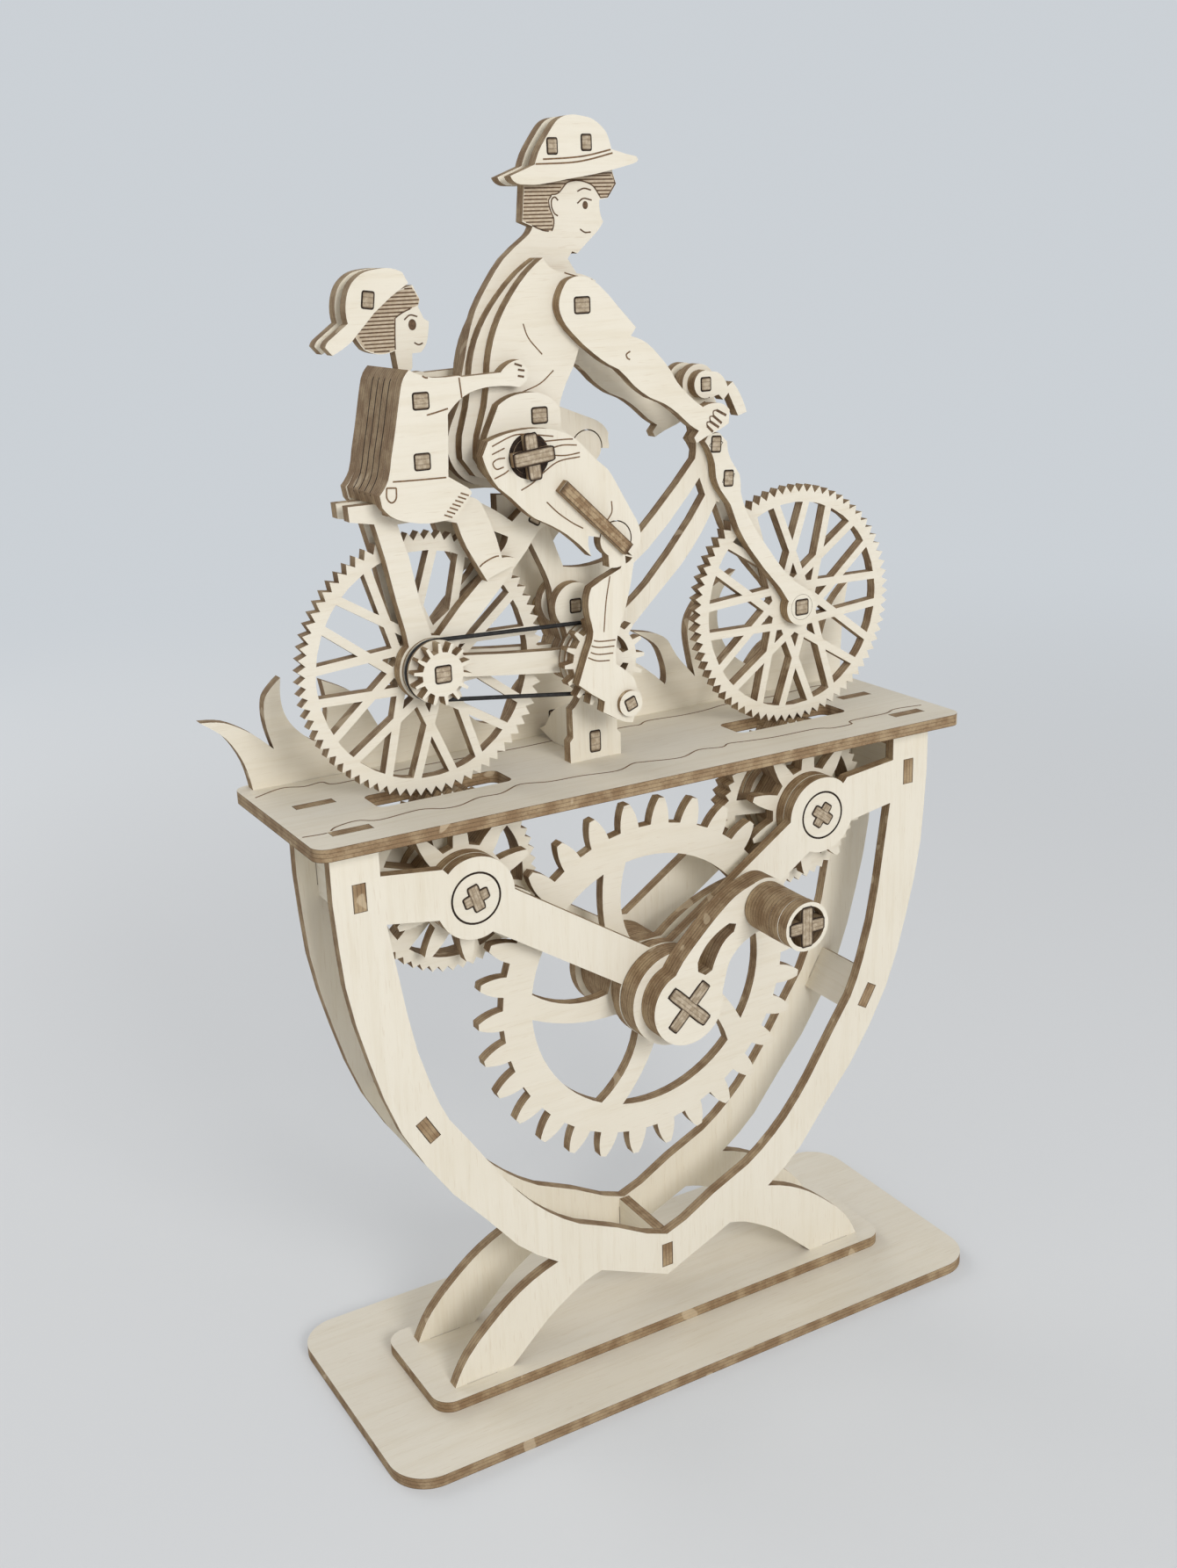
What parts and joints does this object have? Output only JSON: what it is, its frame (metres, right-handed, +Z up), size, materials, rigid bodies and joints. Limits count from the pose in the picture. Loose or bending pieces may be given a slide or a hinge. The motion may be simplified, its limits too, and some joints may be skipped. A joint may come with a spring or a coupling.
{
  "type": "wooden crank automaton",
  "caption": "Hand-cranked laser-cut plywood automaton: gears under a table turn a toothed bicycle with a pedalling rider and a child behind, before a wave-shaped wall.",
  "frame": {"origin": "on the surface it stands on, under the crank shaft and midway between the two frame plates' centre plane", "axes": "+Z up; +X towards the front wheel, to the right seen from the crank's side; +Y away from the crank, towards the splash wall"},
  "size_m": [0.1869, 0.077, 0.3017],
  "materials": {
    "plywood": "laser-cut 3 mm plywood: pale bare faces and burnt brown edges",
    "rubber_band": "matt black rubber"
  },
  "bodies": {
    "stand": {"base_plate": "plywood", "upper_base_plate": "plywood", "front_frame": "plywood", "rear_frame": "plywood", "spacer_top_left": "plywood", "spacer_top_right": "plywood", "spacer_mid_left": "plywood", "spacer_mid_right": "plywood", "spacer_bottom": "plywood", "table_plate": "plywood", "splash_wall": "plywood", "post_plate": "plywood", "brace_plate": "plywood", "front_stay_plate": "plywood", "rear_stay_plate": "plywood", "frame_tubes": "plywood", "front_fork_plate": "plywood", "rear_fork_plate": "plywood", "handlebar": "plywood", "rider_core": "plywood", "torso_inner_front": "plywood", "torso_inner_rear": "plywood", "torso_outer_front": "plywood", "torso_outer_rear": "plywood", "waist_front": "plywood", "waist_rear": "plywood", "hat_front": "plywood", "hat_rear": "plywood", "front_arm": "plywood", "rear_arm": "plywood", "hip_axle": "plywood", "child_core": "plywood", "child_front": "plywood", "child_rear": "plywood", "child_leg_front": "plywood", "child_leg_rear": "plywood", "cap_front": "plywood", "cap_rear": "plywood", "drive_band": "rubber_band"},
    "crank": {"drive_gear": "plywood", "crank_shaft": "plywood", "crank_arm_inner": "plywood", "crank_arm_outer": "plywood", "grip_pin": "plywood"},
    "grip": {"crank_grip": "plywood"},
    "left_axle_set": {"left_pinion": "plywood", "left_fine_wheel": "plywood", "left_axle": "plywood"},
    "right_axle_set": {"right_pinion": "plywood", "right_fine_wheel": "plywood", "right_axle": "plywood"},
    "rear_wheel_set": {"rear_wheel": "plywood", "rear_sprocket": "plywood"},
    "front_wheel_set": {"front_wheel": "plywood"},
    "pedals": {"chainring": "plywood"},
    "front_thigh_body": {"front_thigh": "plywood"},
    "front_shin_body": {"front_shin": "plywood"},
    "rear_thigh_body": {"rear_thigh": "plywood"},
    "rear_shin_body": {"rear_shin": "plywood"}
  },
  "joints": [
    {"name": "crank_spin", "type": "hinge", "parent": "stand", "child": "crank", "pos_m": [0, 0, 0.098], "axis": [0, -1, 0], "continuous": true},
    {"name": "grip_spin", "type": "hinge", "parent": "crank", "child": "grip", "pos_m": [0.02248, 0, 0.11949], "axis": [0, -1, 0], "continuous": true},
    {"name": "left_axle_spin", "type": "hinge", "parent": "stand", "child": "left_axle_set", "pos_m": [-0.04958, 0, 0.1338], "axis": [0, -1, 0], "continuous": true},
    {"name": "right_axle_spin", "type": "hinge", "parent": "stand", "child": "right_axle_set", "pos_m": [0.04958, 0, 0.1338], "axis": [0, -1, 0], "continuous": true},
    {"name": "rear_wheel_spin", "type": "hinge", "parent": "stand", "child": "rear_wheel_set", "pos_m": [-0.05175, 0, 0.18569], "axis": [0, -1, 0], "continuous": true},
    {"name": "front_wheel_spin", "type": "hinge", "parent": "stand", "child": "front_wheel_set", "pos_m": [0.05175, 0, 0.18569], "axis": [0, -1, 0], "continuous": true},
    {"name": "pedal_spin", "type": "hinge", "parent": "stand", "child": "pedals", "pos_m": [-0.0102, 0, 0.18249], "axis": [0, -1, 0], "continuous": true},
    {"name": "front_hip", "type": "hinge", "parent": "stand", "child": "front_thigh_body", "pos_m": [-0.0297, 0, 0.23179], "axis": [0, -1, 0], "range_deg": [-3, 43]},
    {"name": "front_knee", "type": "hinge", "parent": "front_thigh_body", "child": "front_shin_body", "pos_m": [-0.0084, 0, 0.21119], "axis": [0, -1, 0], "range_deg": [-63, 1]},
    {"name": "rear_hip", "type": "hinge", "parent": "stand", "child": "rear_thigh_body", "pos_m": [-0.0297, 0, 0.23179], "axis": [0, -1, 0], "range_deg": [-41, 5]},
    {"name": "rear_knee", "type": "hinge", "parent": "rear_thigh_body", "child": "rear_shin_body", "pos_m": [-0.00022, 0, 0.22881], "axis": [0, -1, 0], "range_deg": [-1, 63]}
  ],
  "couplings": [
    {"joint": "left_axle_spin", "follows": "crank_spin", "ratio": -3},
    {"joint": "right_axle_spin", "follows": "crank_spin", "ratio": -3},
    {"joint": "rear_wheel_spin", "follows": "crank_spin", "ratio": 2.1667},
    {"joint": "front_wheel_spin", "follows": "crank_spin", "ratio": 2.1667},
    {"joint": "pedal_spin", "follows": "crank_spin", "ratio": 1.6792}
  ]
}
